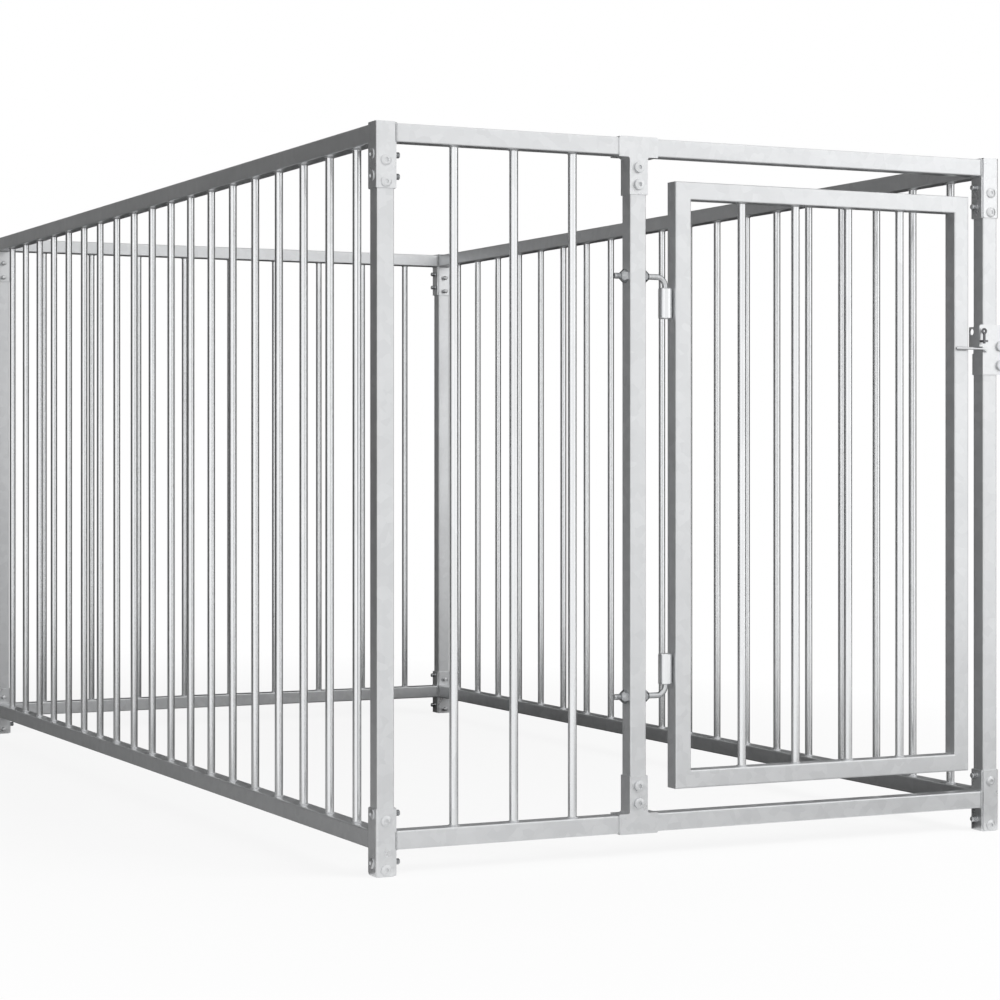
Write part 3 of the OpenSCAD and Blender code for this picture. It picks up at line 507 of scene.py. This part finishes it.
def beadRuns(starts, axis, length, radius):
    along = np.array(axis, dtype=float)
    first = np.roll(along, 1)
    second = np.roll(along, 2)
    s = np.linspace(0, length, beadWeld["rows"])
    swell = np.sqrt(np.clip(np.minimum(s, length - s) / radius, beadWeld["tip"], 1.0))
    bead = radius * swell * (1 + beadWeld["ripple"] * np.sin(fullTurn * s / beadWeld["pitch"]))
    turn = np.linspace(0, fullTurn, beadWeld["sides"], endpoint=False)
    runs = (s[:, None, None] * along + (bead[:, None] * np.cos(turn))[..., None] * first
            + (bead[:, None] * np.sin(turn))[..., None] * second)
    return np.array(starts)[:, None, None] + runs[None]


# barrel welds: one bead behind each barrel, between it and the stile
barrelWeld = {"inset": 2.0, "radius": 1.7, "off": 5.2, "clear": 0.6}
barrelX = boxOf("door_hinge_stile")[0][0] - barrelWeld["clear"]
barrelY = frontY + halfTube + barrelWeld["off"]
barrelBoxes = [boxOf(nodeName) for nodeName in ("barrel_top", "barrel_bottom")]
barrelStarts = [(barrelX, barrelY, low[2] + barrelWeld["inset"]) for low, _ in barrelBoxes]
barrelLength = barrelBoxes[-1][1][2] - barrelBoxes[-1][0][2] - 2 * barrelWeld["inset"]
barrelRuns = beadRuns(barrelStarts, (0, 0, 1), barrelLength, barrelWeld["radius"])
gridPiece("barrelWelds", barrelRuns, "door", weldFinish, True)

# tongue welds: a bead above and below the rod where it lies on the stile
tongueWeld = {"inset": 4.0, "length": 17.0, "radius": 1.0, "apart": 2.2, "before": 0.7, "rodUnder": 1.7}
tongueLow, tongueHigh = boxOf("latch_tongue")
rodHeight = tongueHigh[2] - tongueWeld["rodUnder"]
tongueX = tongueLow[0] + tongueWeld["inset"]
tongueY = frontY - tongueWeld["before"]
tongueStarts = [(tongueX, tongueY, rodHeight + way * tongueWeld["apart"]) for way in (-1, 1)]
tongueRuns = beadRuns(tongueStarts, (1, 0, 0), tongueWeld["length"], tongueWeld["radius"])
gridPiece("tongueWelds", tongueRuns, "door", weldFinish, True)

# camera: level, turned to the right, placed from the front left corner, its frame shifted as in the
# photograph
eye = {"fromCorner": (-1.31098, -3.12171), "height": 0.55092, "turn": 25.73, "lens": 92.232, "sensor": 36.0,
       "shift": (-0.00898, -0.03956), "clipEnd": 100.0}
camera = bpy.data.cameras.new("eye")
camera.sensor_width = eye["sensor"]
camera.lens = eye["lens"]
camera.shift_x, camera.shift_y = eye["shift"]
camera.clip_end = eye["clipEnd"]
cameraObject = bpy.data.objects.new("eye", camera)
eyeX, eyeY = eye["fromCorner"]
cameraObject.location = (leftX / perMetre + eyeX, frontMetres + eyeY, eye["height"])
cameraObject.rotation_euler = (math.radians(90), 0, math.radians(-eye["turn"]))
scene.collection.objects.link(cameraObject)
scene.camera = cameraObject


# 1 for rays that see, mirror or pass through to a surface, 0 for those that light it
def seenRays(tree):
    path = addNode(tree, "ShaderNodeLightPath").outputs
    mirrored = addNode(tree, "ShaderNodeMath", {0: path["Is Camera Ray"], 1: path["Is Glossy Ray"]},
                       operation="MAXIMUM").outputs["Value"]
    passed = addNode(tree, "ShaderNodeMath", {0: mirrored, 1: path["Is Transmission Ray"]},
                     operation="MAXIMUM").outputs["Value"]
    return passed


def stageSheet(name, points, faces, skin):
    mesh = bpy.data.meshes.new(name)
    mesh.from_pydata(points, [], faces)
    mesh.materials.append(skin)
    sheet = bpy.data.objects.new(name, mesh)
    scene.collection.objects.link(sheet)
    return sheet


# a sheet that the metal mirrors and the camera does not see; fills says whether it also shades matt surfaces
def mirroredSheet(name, points, faces, skin, fills):
    sheet = stageSheet(name, points, faces, skin)
    sheet.visible_camera = False
    sheet.visible_shadow = False
    sheet.visible_diffuse = fills


white = (1, 1, 1, 1)

# floor: a pale sheet that goes over into the white of the room all round the run
floorLook = {"half": 30.0, "pale": plainGrey(0.93), "bounce": plainGrey(0.12), "white": 0.88, "near": 0.75,
             "far": 1.7, "oval": (1.0, 0.55, 1.0)}
floorSkin, tree = newMaterial("paleFloor")
oval = addNode(tree, "ShaderNodeMapping", {"Vector": objectPlace(tree),
                                           "Scale": floorLook["oval"]}).outputs["Vector"]
away = addNode(tree, "ShaderNodeVectorMath", {0: oval}, operation="LENGTH").outputs["Value"]
far = toRange(tree, away, floorLook["white"], 1.0, floorLook["near"], floorLook["far"])
seen = seenRays(tree)
floorTone = mixColours(tree, seen, floorLook["bounce"], floorLook["pale"])
matt = addNode(tree, "ShaderNodeBsdfDiffuse", {"Color": floorTone}).outputs["BSDF"]
glow = addNode(tree, "ShaderNodeEmission", {"Color": white, "Strength": 1.0}).outputs["Emission"]
fade = addNode(tree, "ShaderNodeMath", {0: far, 1: seen}, operation="MULTIPLY").outputs["Value"]
blend = addNode(tree, "ShaderNodeMixShader", {0: fade, 1: matt, 2: glow})
addNode(tree, "ShaderNodeOutputMaterial", {"Surface": blend.outputs["Shader"]})
reach = floorLook["half"]
floorCorners = [(-reach, -reach, 0), (reach, -reach, 0), (reach, reach, 0), (-reach, reach, 0)]
stageSheet("floorSheet", floorCorners, [(0, 1, 2, 3)], floorSkin)


def clothOutput(tree, shade):
    weave = addNode(tree, "ShaderNodeBsdfDiffuse", {"Color": shade})
    addNode(tree, "ShaderNodeOutputMaterial", {"Surface": weave.outputs["BSDF"]})


# dark cloth hung in a half oval behind the run with a wing at the right, laid out to the run's front and
# hung over its back part: dark at the right, grey at the left and higher up pale there with painted light,
# as if lit from above, and darker again at the far left
cloth = {"radius": 4.6, "deep": 5.6, "height": 3.4, "behind": 0.03, "openFront": 1.6, "wing": 2.0,
         "steps": 48, "lift": 0.0004, "dark": plainGrey(0.085), "grey": plainGrey(0.68),
         "side": plainGrey(0.235), "pale": plainGrey(0.98), "greyRange": (0.3, -0.8),
         "sideRange": (-1.9, -2.6), "paintedLightRange": (0.85, 1.5)}
clothSkin, tree = newMaterial("darkCloth")
spot = addNode(tree, "ShaderNodeSeparateXYZ", {"Vector": objectPlace(tree)}).outputs
left = toRange(tree, spot["X"], 0.0, 1.0, *cloth["greyRange"])
side = toRange(tree, spot["X"], 0.0, 1.0, *cloth["sideRange"])
# painted light: the cloth turns pale higher up, as if lit from above
high = toRange(tree, spot["Z"], 0.0, 1.0, *cloth["paintedLightRange"])
shade = mixColours(tree, left, cloth["dark"], mixColours(tree, high, cloth["grey"], cloth["pale"]))
clothOutput(tree, mixColours(tree, side, shade, cloth["side"]))
clothFront = frontMetres + cloth["behind"]
steps = cloth["steps"]
clothPath = [(cloth["radius"] * math.cos(b), clothFront + cloth["deep"] * math.sin(b))
             for b in np.linspace(0, np.pi, steps)]
hungPath = [(cloth["radius"], clothFront - cloth["wing"])] + clothPath
hanging = [(x, y, z) for z in (cloth["lift"], cloth["height"]) for x, y in hungPath]
hangingFaces = [(i, i + 1, i + 2 + steps, i + 1 + steps) for i in range(steps)]
laid = [(x, y, cloth["lift"]) for x, y in clothPath]
overhead = [(x, max(y, clothFront + cloth["openFront"]), cloth["height"]) for x, y in clothPath]
laidFaces = [tuple(range(steps))]
mirroredSheet("hungCloth", hanging, hangingFaces, clothSkin, True)
mirroredSheet("laidCloth", laid, laidFaces, clothSkin, False)
mirroredSheet("overheadCloth", overhead, laidFaces, clothSkin, True)

# grey cloth laid before the run, paler to the left: the low rails and the feet of the posts mirror it
frontCloth = {"left": -0.5, "right": 2.2, "near": 0.05, "reach": 1.7, "pale": plainGrey(0.93),
              "grey": plainGrey(0.42), "greyRange": (-0.35, 0.5)}
greySkin, tree = newMaterial("greyCloth")
spot = addNode(tree, "ShaderNodeSeparateXYZ", {"Vector": objectPlace(tree)}).outputs
right = toRange(tree, spot["X"], 0.0, 1.0, *frontCloth["greyRange"])
clothOutput(tree, mixColours(tree, right, frontCloth["pale"], frontCloth["grey"]))
nearY = frontMetres - frontCloth["near"]
farY = nearY - frontCloth["reach"]
frontCorners = [(frontCloth["left"], farY, cloth["lift"]), (frontCloth["right"], farY, cloth["lift"]),
                (frontCloth["right"], nearY, cloth["lift"]), (frontCloth["left"], nearY, cloth["lift"])]
mirroredSheet("frontCloth", frontCorners, [(0, 1, 2, 3)], greySkin, False)

# softbox fronts at the left and the right: a faint glow before the room's white that only the metal mirrors,
# each turned to the middle of the run's front
softboxes = {
    "softboxFront": {"place": (-3.3, -4.3), "width": 1.9, "high": 3.2, "glow": 0.2},
    "softboxRight": {"place": (2.9, -4.0), "width": 1.2, "high": 3.2, "glow": 0.35},
}


def softboxCard(name, box):
    glowSkin, tree = newMaterial(name + "Glow")
    glow = addNode(tree, "ShaderNodeEmission", {"Color": white, "Strength": box["glow"]}).outputs["Emission"]
    through = addNode(tree, "ShaderNodeBsdfTransparent", {"Color": white}).outputs["BSDF"]
    both = addNode(tree, "ShaderNodeAddShader", {0: glow, 1: through})
    addNode(tree, "ShaderNodeOutputMaterial", {"Surface": both.outputs["Shader"]})
    boxX, boxY = box["place"]
    ahead = boxY - frontMetres
    away = math.hypot(boxX, ahead)
    stepX = -ahead / away * box["width"] / 2
    stepY = boxX / away * box["width"] / 2
    edges = [(boxX - stepX, boxY - stepY), (boxX + stepX, boxY + stepY)]
    corners = [(x, y, z) for z in (cloth["lift"], box["high"]) for x, y in edges]
    mirroredSheet(name, corners, [(0, 1, 3, 2)], glowSkin, False)


for boxName, box in softboxes.items():
    softboxCard(boxName, box)

# room: white where it is seen or mirrored, a soft fill elsewhere
room = {"fill": 0.42}
world = bpy.data.worlds.new("whiteRoom")
scene.world = world
world.use_nodes = True
tree = world.node_tree
tree.nodes.clear()
strength = toRange(tree, seenRays(tree), room["fill"], 1.0)
background = addNode(tree, "ShaderNodeBackground", {"Color": white, "Strength": strength})
addNode(tree, "ShaderNodeOutputWorld", {"Surface": background.outputs["Background"]})

# soft lamps: a key from the front right, a weak one from the left and a low one from behind, none mirrored
# as a bright patch
lamps = {
    "frontKey": {"place": (2.0, -3.1, 2.3), "aim": (0.0, -0.9, 0.8), "size": (2.2, 1.6), "watts": 112.0,
                 "spread": 180.0},
    "leftFill": {"place": (-4.0, -4.5, 2.2), "aim": (0.0, -0.9, 0.6), "size": (2.0, 2.0), "watts": 42.0,
                 "spread": 180.0},
    "backFill": {"place": (3.2, 5.2, 0.6), "aim": (0.0, 0.3, 0.5), "size": (2.5, 1.6), "watts": 17.0,
                 "spread": 60.0},
}


def softLamp(name, look):
    light = bpy.data.lights.new(name, "AREA")
    light.shape = "RECTANGLE"
    light.size, light.size_y = look["size"]
    light.energy = look["watts"]
    light.spread = math.radians(look["spread"])
    lamp = bpy.data.objects.new(name, light)
    reach = np.array(look["aim"]) - np.array(look["place"])
    level = math.hypot(reach[0], reach[1])
    lamp.location = look["place"]
    lamp.rotation_euler = (math.atan2(level, -reach[2]), 0, math.atan2(-reach[0], reach[1]))
    lamp.visible_glossy = False
    scene.collection.objects.link(lamp)


for lampName, look in lamps.items():
    softLamp(lampName, look)
scene.view_settings.view_transform = "Standard"
print("camera, floor and light set")
